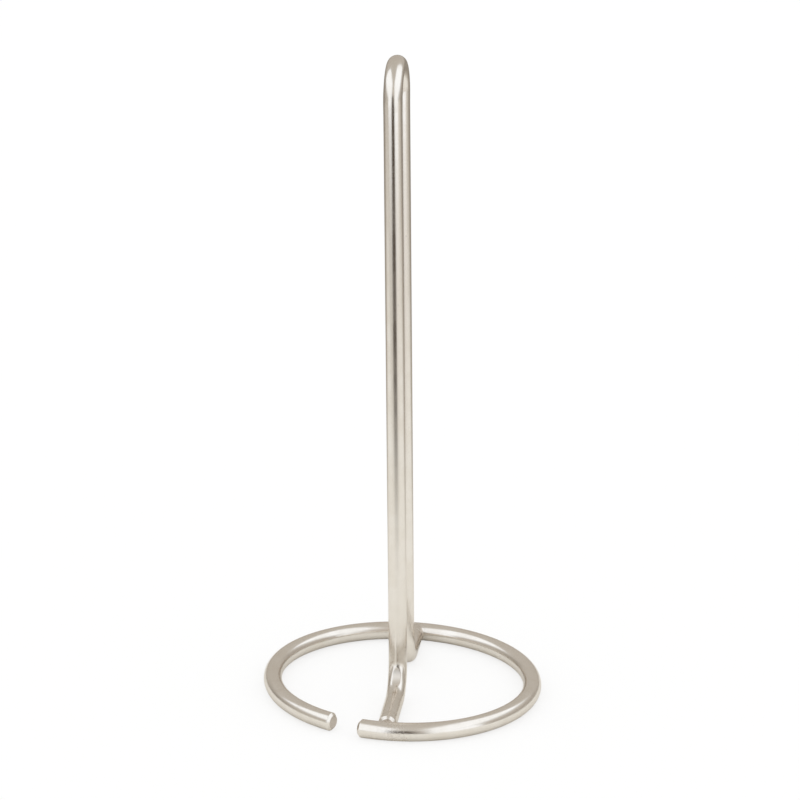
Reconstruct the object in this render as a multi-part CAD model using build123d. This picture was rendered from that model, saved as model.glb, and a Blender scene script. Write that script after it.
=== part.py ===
from build123d import *
from math import cos, radians, sin, sqrt
import os

# A free-standing kitchen roll holder bent from satin nickel plated rod, in millimetres.
# An upright loop slips into the core of the roll, and its two feet are welded to an open base ring.
# Frame: +Z up, origin at table level under the centre of the ring, the upright loop's front foot
# towards -Y. The ring is four tangent arcs that join at its front, right, rear and left.

# Driving dimensions
ROD_D = 9.0
TOTAL_HEIGHT = 319.0
LEG_SPACING = 32.0
FOOT_BEND_R = 16.2
UPRIGHT_X = -0.8
UPRIGHT_Y = 4.9
LEAN_DEG = 1.1

RING_TIGHT_R = 61.4
RING_WIDE_R = 68.2
RIGHT_END_ARC_DEG = 14.5
LEFT_END_ARC_DEG = 63.7
CUT_CHAMFER = 1.3

FRONT_GAP = 2.2
REAR_GAP = 1.6
REAR_CHAMFER = 0.5
FRONT_NECK_FLARE = 0.9
REAR_NECK_FLARE = 3.0
WELD_FLOOR_GAP = 0.1

# Worked-out dimensions
ROD_R = ROD_D / 2
LEG_Y = LEG_SPACING / 2
ARCH_Z = TOTAL_HEIGHT - ROD_R - LEG_Y
FOOT_BEND_Y = LEG_Y + FOOT_BEND_R
FOOT_BEND_Z = ROD_R + FOOT_BEND_R

# Each foot meets a wide arc of the ring. The centres of the four arcs stand at the corners of a
# square about the origin, half the difference of the two radii from it each way.
ARC_CENTRE = (RING_WIDE_R - RING_TIGHT_R) / 2
FRONT_RING_Y = ARC_CENTRE - sqrt(RING_WIDE_R**2 - (UPRIGHT_X - ARC_CENTRE)**2)
REAR_RING_Y = sqrt(RING_WIDE_R**2 - (UPRIGHT_X + ARC_CENTRE)**2) - ARC_CENTRE
FRONT_END_Y = FRONT_RING_Y + ROD_R + FRONT_GAP
REAR_END_Y = REAR_RING_Y - ROD_R - REAR_GAP


def sweep_rod(path):
    """A round rod along a path, as one solid."""
    section = Plane(origin=path @ 0, z_dir=path % 0) * Circle(ROD_R)
    return sweep(section, path=path)


def chamfer_end(solid, point, size):
    """Chamfer the rim of the flat cut end that is centred on a point."""
    flats = solid.faces().filter_by(GeomType.PLANE)
    cut_face = flats.sort_by(lambda face: (face.center() - point).length)[0]
    return chamfer(cut_face.edges(), size)


def upright_path():
    """Front foot, bend, leg, arch, leg, bend and rear foot, drawn in the loop's own flat plane."""
    front_y = FRONT_END_Y - UPRIGHT_Y
    rear_y = REAR_END_Y - UPRIGHT_Y
    with BuildLine(Plane.YZ) as path:
        Line((front_y, ROD_R), (-FOOT_BEND_Y, ROD_R))
        JernArc((-FOOT_BEND_Y, ROD_R), (1, 0), FOOT_BEND_R, 90)
        Line((-LEG_Y, FOOT_BEND_Z), (-LEG_Y, ARCH_Z))
        JernArc((-LEG_Y, ARCH_Z), (0, 1), LEG_Y, -180)
        Line((LEG_Y, ARCH_Z), (LEG_Y, FOOT_BEND_Z))
        JernArc((LEG_Y, FOOT_BEND_Z), (0, -1), FOOT_BEND_R, 90)
        Line((FOOT_BEND_Y, ROD_R), (rear_y, ROD_R))
    return path.wire()


def upright_loop():
    """The bent rod that holds the roll, tipped about the line of its two feet."""
    rod = sweep_rod(upright_path())
    rod = chamfer_end(rod, Vector(0, FRONT_END_Y - UPRIGHT_Y, ROD_R), CUT_CHAMFER)
    rod = chamfer_end(rod, Vector(0, REAR_END_Y - UPRIGHT_Y, ROD_R), REAR_CHAMFER)
    foot_line = Axis((0, 0, ROD_R), (0, 1, 0))
    return Pos(UPRIGHT_X, UPRIGHT_Y, 0) * rod.rotate(foot_line, -LEAN_DEG)


def ring_path():
    """The ring's centreline from its right end round to its left end: two wide and two tight arcs."""
    turn = radians(RIGHT_END_ARC_DEG)
    start = (ARC_CENTRE - RING_WIDE_R * sin(turn), ARC_CENTRE - RING_WIDE_R * cos(turn))
    with BuildLine() as path:
        arc = JernArc(start, (cos(turn), -sin(turn)), RING_WIDE_R, RIGHT_END_ARC_DEG)
        arc = JernArc(arc @ 1, arc % 1, RING_TIGHT_R, 90)
        arc = JernArc(arc @ 1, arc % 1, RING_WIDE_R, 90)
        arc = JernArc(arc @ 1, arc % 1, RING_TIGHT_R, 90)
        JernArc(arc @ 1, arc % 1, RING_WIDE_R, LEFT_END_ARC_DEG)
    return Pos(0, 0, ROD_R) * path.wire()


def base_ring():
    """The open, slightly oval ring of rod that stands on the table."""
    path = ring_path()
    ring = sweep_rod(path)
    for point in (path @ 0, path @ 1):
        ring = chamfer_end(ring, point, CUT_CHAMFER)
    return ring


def weld_neck(end_y, ring_y, end_r, flare, ring):
    """Weld metal from a foot's cut face to the ring, a little wider where it meets the ring."""
    facing = Vector(0, ring_y - end_y, 0).normalized()
    at_foot = Plane((UPRIGHT_X, end_y, ROD_R), x_dir=(1, 0, 0), z_dir=facing)
    at_ring = Plane((UPRIGHT_X, ring_y, ROD_R), x_dir=(1, 0, 0), z_dir=facing)
    neck = loft([at_foot * Circle(end_r), at_ring * Ellipse(end_r + flare, end_r)])
    return neck - ring


ring_solid = base_ring()
front_r = ROD_R - CUT_CHAMFER
rear_r = ROD_R - WELD_FLOOR_GAP
nodes = {
    "upright_loop": upright_loop(),
    "base_ring": ring_solid,
    "front_weld": weld_neck(FRONT_END_Y, FRONT_RING_Y, front_r, FRONT_NECK_FLARE, ring_solid),
    "rear_weld": weld_neck(REAR_END_Y, REAR_RING_Y, rear_r, REAR_NECK_FLARE, ring_solid),
}

os.makedirs("parts", exist_ok=True)
for name, shape in nodes.items():
    export_step(shape, f"parts/{name}.step")
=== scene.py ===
"""A free-standing kitchen roll holder bent from satin nickel plated rod, on a plain studio floor."""

from math import ceil, cos, exp, pi, radians, sin, sqrt, tan

import bpy
from bpy.props import FloatProperty, FloatVectorProperty, PointerProperty
from bpy.types import Operator, Panel, PropertyGroup
from mathutils import Matrix, Vector, noise


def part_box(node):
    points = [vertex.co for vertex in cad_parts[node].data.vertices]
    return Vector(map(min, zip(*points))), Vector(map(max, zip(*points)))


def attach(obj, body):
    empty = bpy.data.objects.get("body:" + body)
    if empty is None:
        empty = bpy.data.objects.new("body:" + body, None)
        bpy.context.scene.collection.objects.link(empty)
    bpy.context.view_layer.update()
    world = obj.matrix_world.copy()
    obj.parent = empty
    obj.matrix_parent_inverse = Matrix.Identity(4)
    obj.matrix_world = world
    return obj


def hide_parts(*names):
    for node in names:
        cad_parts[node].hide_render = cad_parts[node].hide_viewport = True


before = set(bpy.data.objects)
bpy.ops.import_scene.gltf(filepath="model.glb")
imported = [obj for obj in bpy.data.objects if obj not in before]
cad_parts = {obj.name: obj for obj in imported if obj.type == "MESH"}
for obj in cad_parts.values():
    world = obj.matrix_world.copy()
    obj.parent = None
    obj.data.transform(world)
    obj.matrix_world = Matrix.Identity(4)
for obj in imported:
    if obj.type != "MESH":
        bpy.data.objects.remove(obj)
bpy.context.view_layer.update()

bl_info = {
    "name": "Kitchen Roll Holder",
    "version": (1, 0, 0),
    "blender": (4, 5, 0),
    "location": "View3D > Sidebar > Roll Holder",
    "description": "Bends the rods, lays the welds and sets the studio of a kitchen roll holder",
    "category": "Add Mesh",
}

MM = 0.001
RING_LOW, RING_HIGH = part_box("base_ring")
UPRIGHT_LOW, UPRIGHT_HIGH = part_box("upright_loop")
ROD_DIAMETER = RING_HIGH.z - RING_LOW.z
RING_REACH = RING_HIGH.x - ROD_DIAMETER / 2
AROUND = 72
BEND_STEP = radians(2.5)
RUN_STEP = 2.5 * MM


# ---------------------------------------------------------------- settings


def length(name, description, default):
    """A length setting in metres."""
    return FloatProperty(name=name, description=description, default=default, unit="LENGTH", precision=4)


def angle(name, description, default):
    """An angle setting, given in degrees."""
    return FloatProperty(name=name, description=description, default=radians(default), unit="ROTATION")


def share(name, description, default):
    """A plain setting from 0 to 1."""
    return FloatProperty(name=name, description=description, default=default, min=0, max=1, subtype="FACTOR")


def colour(name, description, default):
    """A colour setting."""
    return FloatVectorProperty(
        name=name, description=description, default=default, size=3, min=0, soft_max=1, subtype="COLOR"
    )


class RodSettings(PropertyGroup):
    """Sizes of the rod and of both bent pieces."""

    diameter: length("Rod diameter", "Thickness of the rod that both pieces are bent from", ROD_DIAMETER)
    flattening: share("Bend flattening", "How much a tight bend flattens the rod", 0.05)
    edge_round: length("Edge rounding", "How far the plating rounds each cut edge", 0.16 * MM)
    cut_chamfer: length("Cut chamfer", "Chamfer on the ring's ends and the front foot's end", 1.3 * MM)
    rear_chamfer: length("Rear chamfer", "Chamfer on the rear foot's end, under the weld", 0.5 * MM)
    leg_spacing: length("Leg spacing", "Distance between the middles of the two legs", 32 * MM)
    foot_bend: length("Foot bend radius", "Middle line's radius where a leg turns into a foot", 16.2 * MM)
    press_depth: length("Press depth", "How deep the former pressed the inside of a foot's bend", 0.62 * MM)
    press_reach: length("Press reach", "Half the length of rod that the former pressed", 6.3 * MM)
    press_place: share("Press place", "How far round a foot's bend the flat sits, from the foot", 0.55)
    leg_offset: length("Leg offset", "How far the legs stand behind the middle of the ring", 4.9 * MM)
    lean: angle("Lean", "How far the upright loop leans to the left", 1.1)
    ovalness: length("Ring ovalness", "Difference between the ring's wide and tight bend radii", 6.8 * MM)
    right_end: angle("Right end", "Arc from the ring's front to its right-hand cut end", 14.5)
    left_arc: angle("Left arc", "Arc from the ring's left side to its left-hand cut end", 63.7)
    front_flare: length("Front weld flare", "How much wider the front weld gets at the ring", 0.9 * MM)
    rear_flare: length("Rear weld flare", "How much wider the rear weld gets at the ring", 3 * MM)
    # Reach of the spatter bumps and of the mottled patches of painted shade around the joints.
    joint_reach: length("Scald reach", "How far welding heat reached along the rods", 6.5 * MM)


class FinishSettings(PropertyGroup):
    """Colours and surface of the nickel plating."""

    nickel: colour("Nickel", "Colour of the satin nickel plating", (0.75, 0.70, 0.64))
    nickel_deep: colour("Nickel shade", "Colour of its darker clouds", (0.71, 0.655, 0.585))
    weld: colour("Weld", "Colour of the plated weld metal", (0.72, 0.665, 0.595))
    # Weld shade also colours the painted shade around the joints and on the cut faces.
    weld_deep: colour("Weld shade", "Colour of scorched patches and of sawn faces", (0.50, 0.44, 0.38))
    edge_tint: colour("Edge tint", "Tint of the plating at a grazing angle", (0.86, 0.83, 0.80))
    speck: colour("Specks", "Colour of the specks on the rods", (0.30, 0.27, 0.24))
    weld_speck: colour("Weld specks", "Colour of the specks on the welds", (0.25, 0.22, 0.19))
    satin: share("Satin", "Roughness of the satin surface", 0.205)
    grain: share("Grain", "Strength of the polish lines and pits", 0.10)
    # Darkness of the mottled patches of painted shade around the joints; the next setting adds roughness in
    # them.
    joint_shade: share("Scorch", "Darkness of the patches that welding heat left", 0.4)
    joint_patch_dulling: share("Scorch dulling", "Roughness that welding heat adds in patches", 0.15)
    # Darkness of the painted shade on the cut faces.
    shaded_cut_face: share("Sawn face", "Darkness of the cut faces", 0.85)
    sawn_dulling: share("Sawn dulling", "Roughness that sawing adds to a cut face", 0.1)
    press_dulling: share("Pressed dulling", "Roughness that the bending former adds", 0.16)


class StudioSettings(PropertyGroup):
    """Camera, light cards, room and floor."""

    azimuth: angle("Camera azimuth", "Camera's direction, from straight in front to the right", 6.26)
    distance: length("Camera distance", "Distance over the floor from the ring's middle", 1.5656)
    height: length("Camera height", "Height of the camera above the floor", 0.6601)
    pan: angle("Camera pan", "Turn of the camera to the left of the ring's middle", 0.1)
    tilt: angle("Camera tilt", "Tilt of the camera below the horizon", 18.03)
    roll: angle("Camera roll", "Roll of the camera", 0.65)
    lens: FloatProperty(name="Lens", description="Focal length of the camera", default=153.1, unit="CAMERA")
    card_glow: colour("Cards", "Light of the white cards on both sides of the camera", (1.28, 1.35, 1.44))
    ceiling: colour("Ceiling", "Light of the ceiling and the back wall", (0.64, 0.615, 0.575))
    dusk: colour("Dusk", "Light low down between and beyond the cards", (0.36, 0.335, 0.30))
    sidelight: colour("Side light", "Light of the far floor before the right-hand card", (0.90, 0.88, 0.85))
    gap: colour("Gap", "Light of the dark gap that the camera stands in", (0.075, 0.055, 0.038))
    floor_shade: colour("Mirrored floor", "Colour of the floor that the rods mirror", (0.93, 0.94, 0.92))
    floor_paint: colour("Floor", "Colour of the pale floor, which takes soft shadows", (0.25, 0.25, 0.25))
    floor_glow: colour("Floor glow", "Light of the floor itself, which keeps it pale", (0.73, 0.73, 0.728))
    daylight: FloatProperty(
        name="Daylight", description="Strength of the even light on the floor", default=1.1, min=0
    )


# ---------------------------------------------------------------- bending rod


def walk(start, heading, side, steps):
    """Stations along a flat, bent middle line: (place, heading, distance, sharpness of the bend).

    A step is (length, 0) for a straight run or (radius, angle) for a bend, and a bend turns about
    side, counter-clockwise where its angle is positive.
    """
    stations = [(start.copy(), heading.copy(), 0.0, 0.0)]
    for size, turn in steps:
        place, heading, gone, _ = stations[-1]
        if turn:
            count = ceil(abs(turn) / BEND_STEP)
            centre = place + side.cross(heading) * (size if turn > 0 else -size)
            for i in range(1, count + 1):
                spin = Matrix.Rotation(turn * i / count, 3, side)
                here = centre + spin @ (place - centre)
                stations.append((here, spin @ heading, gone + size * abs(turn) * i / count, 1 / size))
        else:
            count = ceil(size / RUN_STEP)
            for i in range(1, count + 1):
                stations.append((place + heading * size * i / count, heading, gone + size * i / count, 0.0))
    return stations


def rounded(corners, reach, steps=5):
    """A line of points through corners, with each inner corner rounded off within reach of it."""
    points = [corners[0]]
    for before, corner, after in zip(corners, corners[1:], corners[2:]):
        come = corner + (before - corner).normalized() * reach
        leave = corner + (after - corner).normalized() * reach
        for i in range(steps + 1):
            t = i / steps
            points.append(come * (1 - t) ** 2 + corner * 2 * t * (1 - t) + leave * t**2)
    return points + [corners[-1]]


def cut_end(radius, chamfer, edge_round):
    """Outline of a cut end as (setback, radius, cut) from the full rod in to the middle.

    cut is 0 on the rod, 0.5 on the chamfer and 1 on the flat face.
    """
    dish = 0.01 * MM
    chamfer_starts = chamfer * 0.98
    corners = [
        Vector((chamfer + 3 * edge_round, radius)),
        Vector((chamfer, radius)),
        Vector((0, radius - chamfer)),
        Vector((0, (radius - chamfer) / 2)),
    ]
    outline = [(p.x, p.y, 1 - 0.5 * min(1, p.x / edge_round)) for p in rounded(corners, edge_round)]
    outline = [(x, y, cut if x < chamfer_starts else 0.0) for x, y, cut in outline]
    return outline + [(dish, radius * part, 1.0) for part in (0.3, 0.1)]


def smooth_bends(stations, reach):
    """Each station's bend sharpness, averaged over reach on both sides."""
    sharpness = []
    for _, _, here, _ in stations:
        near = [bend for _, _, there, bend in stations if abs(there - here) <= reach]
        sharpness.append(sum(near) / len(near))
    return sharpness


def tube_faces(rings):
    """Faces that join rings of AROUND points each and close both ends."""
    faces = []
    for ring in range(rings - 1):
        for i in range(AROUND):
            j = (i + 1) % AROUND
            base = ring * AROUND
            faces.append((base + i, base + j, base + AROUND + j, base + AROUND + i))
    last = (rings - 1) * AROUND
    faces.append(tuple(reversed(range(AROUND))))
    faces.append(tuple(range(last, last + AROUND)))
    return faces


def new_piece(name, points, faces, material, attributes):
    """A smooth-shaded mesh object with one value or vector per point in each attribute."""
    mesh = bpy.data.meshes.new(name)
    mesh.from_pydata(points, [], faces)
    for key, (kind, values) in attributes.items():
        layer = mesh.attributes.new(key, kind, "POINT")
        if kind == "FLOAT_VECTOR":
            layer.data.foreach_set("vector", [part for value in values for part in value])
        else:
            layer.data.foreach_set("value", values)
    mesh.shade_smooth()
    mesh.materials.append(material)
    piece = bpy.data.objects.new(name, mesh)
    bpy.context.scene.collection.objects.link(piece)
    return piece


def pressed(gone, flats):
    """How deep the bending former pressed the inside of the rod at a distance along it."""
    rod = bpy.context.scene.holder_rod
    depth = max((1 - ((gone - middle) / rod.press_reach) ** 2 for middle in flats), default=0)
    return rod.press_depth * sqrt(max(depth, 0))


def bend_rod(name, stations, side, chamfers, joints, material, flats=()):
    """One bent rod with two chamfered ends.

    joints are the places around which it gets spatter bumps and mottled patches of painted shade, and flats
    the distances along it where the bending former pressed the inside of a bend flat.
    """
    rod = bpy.context.scene.holder_rod
    press_edge = 0.1 * MM
    radius = rod.diameter / 2
    total = stations[-1][2]
    sharpness = smooth_bends(stations, radius)
    sections = []
    start_end = [cut_end(radius, chamfer, rod.edge_round) for chamfer in chamfers]
    margins = [outline[0][0] for outline in start_end]
    for setback, wide, cut in reversed(start_end[0]):
        place, heading, _, _ = stations[0]
        sections.append((place + heading * setback, heading, setback, wide, cut, 0.0))
    for (place, heading, gone, _), bend in zip(stations, sharpness):
        if margins[0] < gone < total - margins[1]:
            sections.append((place, heading, gone, radius, 0.0, bend))
    for setback, wide, cut in start_end[1]:
        place, heading, _, _ = stations[-1]
        sections.append((place - heading * setback, heading, total - setback, wide, cut, 0.0))

    points, lay, cuts, near_joint, press = [], [], [], [], []
    for place, heading, gone, wide, cut, bend in sections:
        across = heading.cross(side)
        flat = rod.flattening * bend * radius
        pressed_to = wide - pressed(gone, flats)
        for i in range(AROUND):
            turn = 2 * pi * i / AROUND
            inward = -sin(turn) * (1 - flat) * wide
            point = place + side * cos(turn) * (1 + flat) * wide - across * min(inward, pressed_to)
            points.append(point)
            press.append(min(1.0, max(0.0, (inward - pressed_to) / press_edge)))
            lay.append((radius * cos(turn), radius * sin(turn), gone))
            cuts.append(cut)
            # Nearness to a joint, which carries spatter bumps and mottled patches of painted shade.
            near = min((point - joint).length for joint in joints)
            near_joint.append(exp(-((near / rod.joint_reach) ** 2)))
    attributes = {
        "lay": ("FLOAT_VECTOR", lay),
        "cut": ("FLOAT", cuts),
        "near_joint": ("FLOAT", near_joint),
        "press": ("FLOAT", press),
    }
    return new_piece(name, points, tube_faces(len(sections)), material, attributes)


def ring_meets(front):
    """Where the ring's middle line crosses the plane of the upright loop, at the front or the rear."""
    rod = bpy.context.scene.holder_rod
    wide = RING_REACH + rod.ovalness / 2
    centre = rod.ovalness / 2
    x = UPRIGHT_HIGH.x - rod.diameter / 2
    if front:
        return Vector((x, centre - sqrt(wide**2 - (x - centre) ** 2), rod.diameter / 2))
    return Vector((x, sqrt(wide**2 - (x + centre) ** 2) - centre, rod.diameter / 2))


# ---------------------------------------------------------------- finishes


class Nodes:
    """Short ways to add and join nodes in one tree."""

    def __init__(self, tree):
        self.tree = tree

    def add(self, kind, settings=(), inputs=()):
        """A new node with its settings and input values or links."""
        node = self.tree.nodes.new(kind)
        for key, value in dict(settings).items():
            setattr(node, key, value)
        for key, value in dict(inputs).items():
            if isinstance(value, bpy.types.NodeSocket):
                self.tree.links.new(value, node.inputs[key])
            else:
                node.inputs[key].default_value = value
        return node

    def maths(self, operation, first, second=0.0):
        """The result of a sum on values or sockets."""
        return self.add("ShaderNodeMath", {"operation": operation}, {0: first, 1: second}).outputs[0]

    def noise(self, vector, scale, detail=2.0, roughness=0.5):
        """A noise value about 0.5."""
        inputs = {"Vector": vector, "Scale": scale, "Detail": detail, "Roughness": roughness}
        return self.add("ShaderNodeTexNoise", {}, inputs).outputs["Fac"]

    def spread(self, value, low, high, to_low=0.0, to_high=1.0):
        """A value moved smoothly from one range to another and held inside it."""
        settings = {"interpolation_type": "SMOOTHSTEP"}
        inputs = {"Value": value, "From Min": low, "From Max": high, "To Min": to_low, "To Max": to_high}
        return self.add("ShaderNodeMapRange", settings, inputs).outputs["Result"]

    def dot(self, first, second):
        """The dot product of two vectors."""
        node = self.add("ShaderNodeVectorMath", {"operation": "DOT_PRODUCT"}, {0: first, 1: second})
        return node.outputs["Value"]

    def product(self, *values):
        """All the values multiplied together."""
        result = values[0]
        for value in values[1:]:
            result = self.maths("MULTIPLY", result, value)
        return result

    def blend(self, amount, first, second):
        """A colour between two colours or sockets."""
        node = self.add("ShaderNodeMix", {"data_type": "RGBA"}, {"Factor": amount})
        for slot, value in (("A_Color", first), ("B_Color", second)):
            socket = next(s for s in node.inputs if s.identifier == slot)
            if isinstance(value, bpy.types.NodeSocket):
                self.tree.links.new(value, socket)
            else:
                socket.default_value = (*value, 1)
        return next(s for s in node.outputs if s.identifier == "Result_Color")


def new_group(name, inputs, values):
    """A shader node group with named sockets, and its tree's Nodes, input node and output node."""
    tree = bpy.data.node_groups.new(name, "ShaderNodeTree")
    for key, kind, value in inputs:
        socket = tree.interface.new_socket(key, in_out="INPUT", socket_type=kind)
        if value is not None:
            socket.default_value = value
    for key in values:
        tree.interface.new_socket(key, in_out="OUTPUT", socket_type="NodeSocketFloat")
    nodes = Nodes(tree)
    return nodes, nodes.add("NodeGroupInput"), nodes.add("NodeGroupOutput")


def satin_grain():
    """Polish lines along the rod and a fine pitted grain: a height and a cloudiness."""
    if "satin_grain" in bpy.data.node_groups:
        return bpy.data.node_groups["satin_grain"]
    inputs = (
        ("Lay", "NodeSocketVector", None),
        ("Place", "NodeSocketVector", None),
        ("Line Scale", "NodeSocketFloat", 2600.0),
        ("Pit Scale", "NodeSocketFloat", 2200.0),
        ("Cloud Scale", "NodeSocketFloat", 90.0),
        ("Stretch", "NodeSocketVector", (1.0, 1.0, 0.03)),
    )
    nodes, given, result = new_group("satin_grain", inputs, ("Height", "Cloud"))
    stretched = {0: given.outputs["Lay"], 1: given.outputs["Stretch"]}
    along = nodes.add("ShaderNodeVectorMath", {"operation": "MULTIPLY"}, stretched)
    lines = nodes.noise(along.outputs[0], given.outputs["Line Scale"], 3.0, 0.6)
    pits = nodes.noise(given.outputs["Place"], given.outputs["Pit Scale"], 2.0, 0.6)
    cloud = nodes.noise(given.outputs["Place"], given.outputs["Cloud Scale"], 4.0, 0.55)
    height = nodes.maths("ADD", nodes.maths("MULTIPLY", lines, 0.45), nodes.maths("MULTIPLY", pits, 0.55))
    nodes.tree.links.new(height, result.inputs["Height"])
    nodes.tree.links.new(nodes.spread(cloud, 0.3, 0.7), result.inputs["Cloud"])
    return nodes.tree


def dust_specks():
    """Small scattered specks: a mask. Only cells whose random value is above Rarity hold one."""
    if "dust_specks" in bpy.data.node_groups:
        return bpy.data.node_groups["dust_specks"]
    inputs = (
        ("Place", "NodeSocketVector", None),
        ("Speck Scale", "NodeSocketFloat", 420.0),
        ("Speck Size", "NodeSocketFloat", 0.14),
        ("Rarity", "NodeSocketFloat", 0.93),
    )
    nodes, given, result = new_group("dust_specks", inputs, ("Speck",))
    cells = nodes.add(
        "ShaderNodeTexVoronoi", {}, {"Vector": given.outputs["Place"], "Scale": given.outputs["Speck Scale"]}
    )
    random = nodes.add("ShaderNodeSeparateColor", {}, {"Color": cells.outputs["Color"]})
    chosen = nodes.maths("GREATER_THAN", random.outputs[0], given.outputs["Rarity"])
    small = nodes.maths("LESS_THAN", cells.outputs["Distance"], given.outputs["Speck Size"])
    nodes.tree.links.new(nodes.maths("MULTIPLY", chosen, small), result.inputs["Speck"])
    return nodes.tree


def new_material(name):
    """A material with its Nodes and its Principled BSDF."""
    material = bpy.data.materials.new(name)
    material.use_nodes = True
    shader = material.node_tree.nodes["Principled BSDF"]
    return material, Nodes(material.node_tree), shader


def placed_group(nodes, group, inputs):
    """A node group placed in a material with its own values."""
    return nodes.add("ShaderNodeGroup", {"node_tree": group}, inputs).outputs


def surface_mask(nodes, name):
    """A value that the piece's mesh carries at each point."""
    return nodes.add("ShaderNodeAttribute", {"attribute_name": name}).outputs["Fac"]


def plate(nodes, shader, tone, rough, height, strength, depth):
    """Finish a plated metal: its colour, roughness and relief, and the same tinted edge for all."""
    finish = bpy.context.scene.holder_finish
    bump = nodes.add("ShaderNodeBump", {}, {"Strength": strength, "Distance": depth, "Height": height})
    shader.inputs["Metallic"].default_value = 1.0
    shader.inputs["Specular Tint"].default_value = (*finish.edge_tint, 1)
    nodes.tree.links.new(tone, shader.inputs["Base Color"])
    nodes.tree.links.new(rough, shader.inputs["Roughness"])
    nodes.tree.links.new(bump.outputs["Normal"], shader.inputs["Normal"])


def satin_nickel():
    """Satin nickel plating: cloudy, faintly lined along the rod, with mottled patches of painted shade
    around the joints and painted shade on its cut faces.
    """
    if "nickel_plating" in bpy.data.materials:
        return bpy.data.materials["nickel_plating"]
    finish = bpy.context.scene.holder_finish
    material, nodes, shader = new_material("nickel_plating")
    place = nodes.add("ShaderNodeTexCoord").outputs["Object"]
    lay = nodes.add("ShaderNodeAttribute", {"attribute_name": "lay"}).outputs["Vector"]
    near_joint = surface_mask(nodes, "near_joint")
    # The cut faces, which get painted shade and more roughness.
    shaded_cut_face = nodes.spread(surface_mask(nodes, "cut"), 0.6, 1.0)
    press = surface_mask(nodes, "press")
    grain = placed_group(nodes, satin_grain(), {"Lay": lay, "Place": place})
    specks = placed_group(nodes, dust_specks(), {"Place": place})
    patches = nodes.spread(nodes.noise(place, 800.0, 3.0, 0.65), 0.46, 0.60)
    # Mottled patches of painted shade around the joints, which also get rougher.
    joint_shade = nodes.product(near_joint, patches)
    spatter = nodes.product(near_joint, nodes.noise(place, 1100.0, 3.0, 0.6), 14.0)

    tone = nodes.blend(grain["Cloud"], finish.nickel, finish.nickel_deep)
    # Painted shade around the joints.
    tone = nodes.blend(nodes.product(joint_shade, finish.joint_shade), tone, finish.weld_deep)
    tone = nodes.blend(nodes.product(specks["Speck"], 0.35), tone, finish.speck)
    # Painted shade on the cut faces.
    tone = nodes.blend(nodes.product(shaded_cut_face, finish.shaded_cut_face), tone, finish.weld_deep)
    rough = nodes.spread(grain["Cloud"], 0.0, 1.0, finish.satin - 0.02, finish.satin + 0.03)
    dullings = ((joint_shade, finish.joint_patch_dulling), (shaded_cut_face, finish.sawn_dulling), (press, finish.press_dulling))
    for mask, dulling in dullings:
        rough = nodes.maths("ADD", rough, nodes.product(mask, dulling))
    height = nodes.maths("ADD", grain["Height"], spatter)
    plate(nodes, shader, tone, rough, height, finish.grain, 0.02 * MM)
    return material


def plated_weld():
    """Plated weld metal: mottled, rougher than the rod."""
    if "weld_plating" in bpy.data.materials:
        return bpy.data.materials["weld_plating"]
    finish = bpy.context.scene.holder_finish
    material, nodes, shader = new_material("weld_plating")
    place = nodes.add("ShaderNodeTexCoord").outputs["Object"]
    grain = placed_group(nodes, satin_grain(), {"Lay": place, "Place": place, "Cloud Scale": 500.0})
    specks = placed_group(nodes, dust_specks(), {"Place": place, "Speck Scale": 900.0})
    tone = nodes.blend(nodes.product(grain["Cloud"], 0.5), finish.weld, finish.weld_deep)
    tone = nodes.blend(nodes.product(specks["Speck"], 0.5), tone, finish.weld_speck)
    rough = nodes.spread(grain["Cloud"], 0.0, 1.0, finish.satin + 0.07, finish.satin + 0.17)
    plate(nodes, shader, tone, rough, grain["Height"], finish.grain * 2, 0.03 * MM)
    return material


# ---------------------------------------------------------------- pieces


class HOLDER_OT_base_ring(Operator):
    """Bend the open base ring from one rod"""

    bl_idname = "holder.base_ring"
    bl_label = "Base Ring"

    def execute(self, context):
        rod = context.scene.holder_rod
        up = Vector((0, 0, 1))
        tight = RING_REACH - rod.ovalness / 2
        wide = RING_REACH + rod.ovalness / 2
        centre = Vector((rod.ovalness / 2, rod.ovalness / 2, rod.diameter / 2))
        turn = rod.right_end
        start = centre - Vector((sin(turn), cos(turn), 0)) * wide
        heading = Vector((cos(turn), -sin(turn), 0))
        quarter = radians(90)
        steps = [(wide, turn), (tight, quarter), (wide, quarter), (tight, quarter), (wide, rod.left_arc)]
        stations = walk(start, heading, up, steps)
        # The painted shade around the front weld centres beside the weld.
        beside_front_weld = Vector((6, -3, -2)) * MM
        joints = [ring_meets(True) + beside_front_weld, ring_meets(False)]
        chamfers = (rod.cut_chamfer, rod.cut_chamfer)
        piece = bend_rod("base_ring_rod", stations, up, chamfers, joints, satin_nickel())
        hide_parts("base_ring")
        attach(piece, "root")
        return {"FINISHED"}


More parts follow.
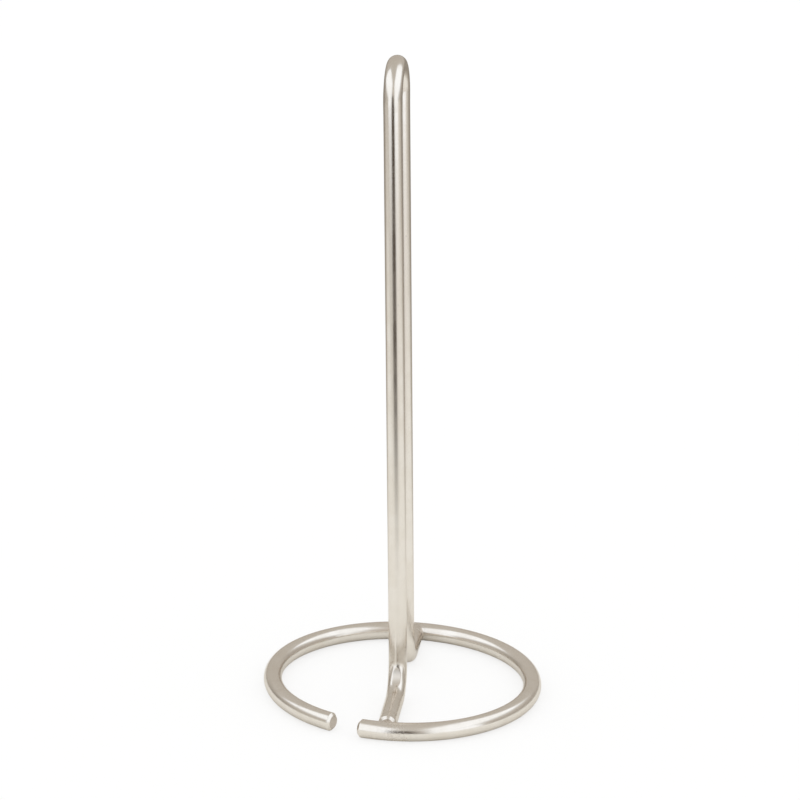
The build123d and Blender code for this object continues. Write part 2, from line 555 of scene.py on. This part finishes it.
class HOLDER_OT_upright_loop(Operator):
    """Bend the upright loop and its two feet from one rod"""

    bl_idname = "holder.upright_loop"
    bl_label = "Upright Loop"

    def execute(self, context):
        rod = context.scene.holder_rod
        radius = rod.diameter / 2
        half = rod.leg_spacing / 2
        foot_line = Vector((UPRIGHT_HIGH.x - radius, 0, radius))
        top = (UPRIGHT_HIGH.z - rod.diameter) / cos(rod.lean)
        leg = top - half - rod.foot_bend
        front_foot = rod.leg_offset - half - rod.foot_bend - UPRIGHT_LOW.y
        rear_foot = UPRIGHT_HIGH.y - rod.leg_offset - half - rod.foot_bend
        quarter = radians(90)
        tip = Matrix.Rotation(-rod.lean, 3, "Y")
        side = tip @ Vector((1, 0, 0))
        steps = [
            (front_foot, 0),
            (rod.foot_bend, quarter),
            (leg, 0),
            (half, -2 * quarter),
            (leg, 0),
            (rod.foot_bend, quarter),
            (rear_foot, 0),
        ]
        start = foot_line + Vector((0, UPRIGHT_LOW.y, 0))
        stations = walk(start, Vector((0, 1, 0)), side, steps)
        joints = [start, foot_line + Vector((0, UPRIGHT_HIGH.y, 0))]
        chamfers = (rod.cut_chamfer, rod.rear_chamfer)
        to_press = rod.foot_bend * quarter * rod.press_place
        flats = (front_foot + to_press, stations[-1][2] - rear_foot - to_press)
        piece = bend_rod("upright_loop_rod", stations, side, chamfers, joints, satin_nickel(), flats)
        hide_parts("upright_loop")
        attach(piece, "root")
        return {"FINISHED"}


def lay_weld(name, from_y, to_point, outline, ripple):
    """A bead of weld metal from a foot to the ring.

    outline gives (share of the way, half width, half height) for its section, and ripple how far the
    bead's surface rises and falls.
    """
    sections = 26
    lump_scale = 900
    waves = 4
    clear_of_floor = 0.05 * MM
    points = []
    for k in range(sections):
        t = k / (sections - 1)
        before = max(o for o in outline if o[0] <= t)
        after = min(o for o in outline if o[0] >= t)
        gap = (after[0] - before[0]) or 1
        part = (t - before[0]) / gap
        part = part * part * (3 - 2 * part)
        wide = before[1] + (after[1] - before[1]) * part
        high = before[2] + (after[2] - before[2]) * part
        y = from_y + (to_point.y - from_y) * t
        for i in range(AROUND):
            turn = 2 * pi * i / AROUND
            spot = Vector((cos(turn) * wide, y, sin(turn) * high))
            lumps = 0.7 * noise.noise(spot * lump_scale)
            ridges = 0.5 * sin(2 * pi * waves * t + 2 * sin(turn))
            rise = ripple * (lumps + ridges)
            x = to_point.x + cos(turn) * (wide + rise)
            z = to_point.z + sin(turn) * (high + rise)
            points.append(Vector((x, y, max(z, clear_of_floor))))
    return new_piece(name, points, tube_faces(sections), plated_weld(), {})


class HOLDER_OT_welds(Operator):
    """Lay the two welds that join the feet to the ring"""

    bl_idname = "holder.welds"
    bl_label = "Welds"

    def execute(self, context):
        rod = context.scene.holder_rod
        radius = rod.diameter / 2
        neck = radius - rod.cut_chamfer
        slight = 0.1 * MM
        front = [
            (0.0, neck - slight, neck - slight),
            (0.3, neck, neck),
            (1.0, neck + rod.front_flare, neck),
        ]
        rear = [
            (0.0, radius, radius),
            (0.2, radius + slight, radius),
            (0.55, radius + 0.8 * MM, radius),
            (1.0, radius + rod.rear_flare, radius - slight),
        ]
        from_front = UPRIGHT_LOW.y + 0.2 * MM
        from_rear = UPRIGHT_HIGH.y - 1.2 * MM
        pieces = {
            "front_weld": lay_weld("front_weld_bead", from_front, ring_meets(True), front, slight),
            "rear_weld": lay_weld("rear_weld_bead", from_rear, ring_meets(False), rear, 0.06 * MM),
        }
        for node, piece in pieces.items():
            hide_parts(node)
            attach(piece, "root")
        return {"FINISHED"}


# ---------------------------------------------------------------- studio


def bearing(degrees, distance):
    """A place on the floor, at an azimuth from the camera's towards the right."""
    turn = bpy.context.scene.holder_studio.azimuth + radians(degrees)
    return Vector((sin(turn) * distance, -cos(turn) * distance, 0))


def card_glow(name, colour):
    """Plain light that fades out at a card's edges."""
    material, nodes, shader = new_material(name)
    spot = nodes.add("ShaderNodeAttribute", {"attribute_name": "spot"}).outputs["Vector"]
    split = nodes.add("ShaderNodeSeparateXYZ", {}, {0: spot})
    edge = nodes.product(*(nodes.spread(split.outputs[axis], 0.0, 1.0) for axis in (0, 1)))
    tree = nodes.tree
    glow = nodes.add("ShaderNodeEmission", {}, {"Color": (*colour, 1), "Strength": 1.0})
    clear = nodes.add("ShaderNodeBsdfTransparent")
    mix = nodes.add("ShaderNodeMixShader", {}, {0: edge, 1: clear.outputs[0], 2: glow.outputs[0]})
    tree.nodes.remove(shader)
    tree.links.new(mix.outputs[0], tree.nodes["Material Output"].inputs["Surface"])
    material.cycles.emission_sampling = "NONE"
    return material


def light_card(name, near, far, low, high, fade, colour):
    """An upright card between two places, with soft edges.

    low and high are its heights at the near and the far end, and fade is the width of its soft edge.
    Only the rods' mirror images show it.
    """
    across = 12
    up = 12
    reach = (far - near).length
    points, spots = [], []
    for i in range(across + 1):
        s = i / across
        bottom = low[0] + (low[1] - low[0]) * s
        top = high[0] + (high[1] - high[0]) * s
        for j in range(up + 1):
            t = j / up
            points.append(near.lerp(far, s) + Vector((0, 0, bottom + (top - bottom) * t)))
            side = min(s, 1 - s) * reach / fade
            stand = (top - bottom) * (1 - t) / fade if bottom <= 0 else (top - bottom) * min(t, 1 - t) / fade
            spots.append((side, stand, 0))
    faces = []
    for i in range(across):
        for j in range(up):
            base = i * (up + 1) + j
            faces.append((base, base + 1, base + up + 2, base + up + 1))
    card = new_piece(name, points, faces, card_glow(name, colour), {"spot": ("FLOAT_VECTOR", spots)})
    for sight in ("visible_camera", "visible_diffuse", "visible_shadow", "visible_transmission"):
        setattr(card, sight, False)


def studio_cards():
    """Two tall white cards beside the camera, two low ones before them and the dark gap between."""
    studio = bpy.context.scene.holder_studio
    white, dark = studio.card_glow, studio.gap
    cards = {
        "tall_card_left": (bearing(-11, 2.2), bearing(-124, 1.95), (0.0, 0.72), (3.2, 3.2), 0.30, white),
        "tall_card_right": (bearing(16, 2.1), bearing(138, 1.22), (0.0, 0.5), (2.5, 2.5), 0.25, white),
        "low_card_left": (bearing(-9, 1.25), bearing(-58, 1.25), (0.0, 0.0), (0.8, 0.8), 0.12, white),
        "low_card_right": (bearing(14, 1.25), bearing(66, 1.25), (0.0, 0.0), (0.8, 0.8), 0.12, white),
        "camera_gap": (bearing(-16, 1.15), bearing(7, 1.15), (0.0, 0.0), (0.72, 0.72), 0.06, dark),
    }
    for name, (near, far, low, high, fade, colour) in cards.items():
        light_card(name, near, far, low, high, fade, colour)


def pale_floor():
    """Pale floor, lit from below as well so that shadows stay faint.

    The rods mirror it as a white sheet of limited size with a dimmer floor beyond.
    """
    studio = bpy.context.scene.holder_studio
    material, nodes, shader = new_material("pale_floor")
    place = nodes.add("ShaderNodeTexCoord").outputs["Object"]
    mirrored = nodes.add("ShaderNodeLightPath").outputs["Is Glossy Ray"]
    ahead = nodes.dot(place, bearing(0, 1))
    aside = nodes.maths("ABSOLUTE", nodes.dot(place, bearing(90, 1)))
    sheet_front = nodes.spread(ahead, 0.16, 0.57, 1.0, 0.0)
    sheet_back = nodes.spread(ahead, -0.32, -0.06)
    sheet_sides = nodes.spread(aside, 0.45, 1.3, 1.0, 0.0)
    sheet = nodes.product(sheet_front, sheet_back, sheet_sides)

    slope = nodes.maths("DIVIDE", aside, nodes.maths("MAXIMUM", ahead, 0.01))
    out_of_gap = nodes.spread(slope, tan(radians(12)), tan(radians(32)))
    forward = nodes.spread(ahead, -0.8, 0.0)
    rightward = nodes.spread(nodes.dot(place, bearing(60, 1)), 0.2, 0.55)
    near_card = nodes.product(rightward, nodes.spread(ahead, 0.1, 0.4))
    beside = nodes.blend(near_card, studio.ceiling, studio.sidelight)
    beyond = nodes.blend(forward, studio.dusk, nodes.blend(out_of_gap, studio.gap, beside))

    black = (0, 0, 0)
    lit = nodes.blend(mirrored, studio.floor_paint, nodes.blend(sheet, black, studio.floor_shade))
    shine = nodes.blend(mirrored, studio.floor_glow, nodes.blend(sheet, beyond, black))
    nodes.tree.links.new(lit, shader.inputs["Base Color"])
    nodes.tree.links.new(shine, shader.inputs["Emission Color"])
    shader.inputs["Emission Strength"].default_value = 1.0
    shader.inputs["Roughness"].default_value = 0.9
    shader.inputs["Specular IOR Level"].default_value = 0.0
    return material


def studio_walls():
    """Even white light for the floor, and the dim room for the rods to mirror.

    The room is light above, behind and to both sides, and dusky low down between those.
    """
    studio = bpy.context.scene.holder_studio
    world = bpy.data.worlds.new("studio_walls")
    bpy.context.scene.world = world
    world.use_nodes = True
    nodes = Nodes(world.node_tree)
    world.node_tree.nodes.clear()
    toward = nodes.add("ShaderNodeTexCoord").outputs["Generated"]
    height = nodes.dot(toward, (0, 0, 1))
    high = nodes.spread(height, 0.06, 0.42)
    back = nodes.spread(nodes.dot(toward, bearing(180, 1)), 0.55, 0.9)
    back = nodes.product(back, nodes.spread(height, -0.02, 0.1))
    right = nodes.product(nodes.spread(nodes.dot(toward, bearing(95, 1)), 0.3, 0.8), 0.5)
    left = nodes.product(nodes.spread(nodes.dot(toward, bearing(-65, 1)), 0.5, 0.9), 0.7)
    sides = nodes.maths("MAXIMUM", left, right)
    lightness = nodes.maths("MAXIMUM", nodes.maths("MAXIMUM", high, back), sides)
    room = nodes.blend(lightness, studio.dusk, studio.ceiling)
    even = nodes.add("ShaderNodeBackground", {}, {"Color": (1, 1, 1, 1), "Strength": studio.daylight})
    mirrored = nodes.add("ShaderNodeBackground", {}, {"Color": room, "Strength": 1.0})
    glossy = nodes.add("ShaderNodeLightPath").outputs["Is Glossy Ray"]
    mix = nodes.add("ShaderNodeMixShader", {}, {0: glossy, 1: even.outputs[0], 2: mirrored.outputs[0]})
    nodes.add("ShaderNodeOutputWorld", {}, {"Surface": mix.outputs[0]})


class HOLDER_OT_studio(Operator):
    """Set the floor, the walls, the light cards and the camera"""

    bl_idname = "holder.studio"
    bl_label = "Studio"

    def execute(self, context):
        scene = context.scene
        studio = scene.holder_studio
        scene.view_settings.view_transform = "Standard"
        mesh = bpy.data.meshes.new("floor")
        half = 12.0
        corners = [(-half, -half, 0), (half, -half, 0), (half, half, 0), (-half, half, 0)]
        mesh.from_pydata(corners, [], [(0, 1, 2, 3)])
        mesh.materials.append(pale_floor())
        floor = bpy.data.objects.new("floor", mesh)
        scene.collection.objects.link(floor)
        studio_walls()
        studio_cards()

        camera = bpy.data.objects.new("camera", bpy.data.cameras.new("camera"))
        scene.collection.objects.link(camera)
        camera.data.lens = studio.lens
        side, back = sin(studio.azimuth), -cos(studio.azimuth)
        camera.location = (side * studio.distance, back * studio.distance, studio.height)
        turn = Matrix.Rotation(studio.azimuth + studio.pan, 4, "Z")
        tilt = Matrix.Rotation(radians(90) - studio.tilt, 4, "X")
        camera.rotation_euler = (turn @ tilt @ Matrix.Rotation(studio.roll, 4, "Z")).to_euler()
        scene.camera = camera
        return {"FINISHED"}


class HOLDER_PT_panel(Panel):
    """Lists the pieces of the roll holder and its studio"""

    bl_label = "Roll Holder"
    bl_idname = "HOLDER_PT_panel"
    bl_space_type = "VIEW_3D"
    bl_region_type = "UI"
    bl_category = "Roll Holder"

    def draw(self, context):
        scene = context.scene
        for settings in (scene.holder_rod, scene.holder_finish, scene.holder_studio):
            box = self.layout.box()
            for key in settings.__annotations__:
                box.prop(settings, key)
        for operator in OPERATORS:
            self.layout.operator(operator.bl_idname)


SETTINGS = {"holder_rod": RodSettings, "holder_finish": FinishSettings, "holder_studio": StudioSettings}
OPERATORS = (HOLDER_OT_base_ring, HOLDER_OT_upright_loop, HOLDER_OT_welds, HOLDER_OT_studio)
CLASSES = (*SETTINGS.values(), *OPERATORS, HOLDER_PT_panel)


def register():
    """Register the classes and hang the settings on the scene."""
    for item in CLASSES:
        bpy.utils.register_class(item)
    for key, group in SETTINGS.items():
        setattr(bpy.types.Scene, key, PointerProperty(type=group))


def unregister():
    """Undo register."""
    for key in SETTINGS:
        delattr(bpy.types.Scene, key)
    for item in reversed(CLASSES):
        bpy.utils.unregister_class(item)


def main():
    """Make every piece and the studio."""
    register()
    bpy.ops.holder.base_ring()
    bpy.ops.holder.upright_loop()
    bpy.ops.holder.welds()
    bpy.ops.holder.studio()


if __name__ == "__main__":
    main()
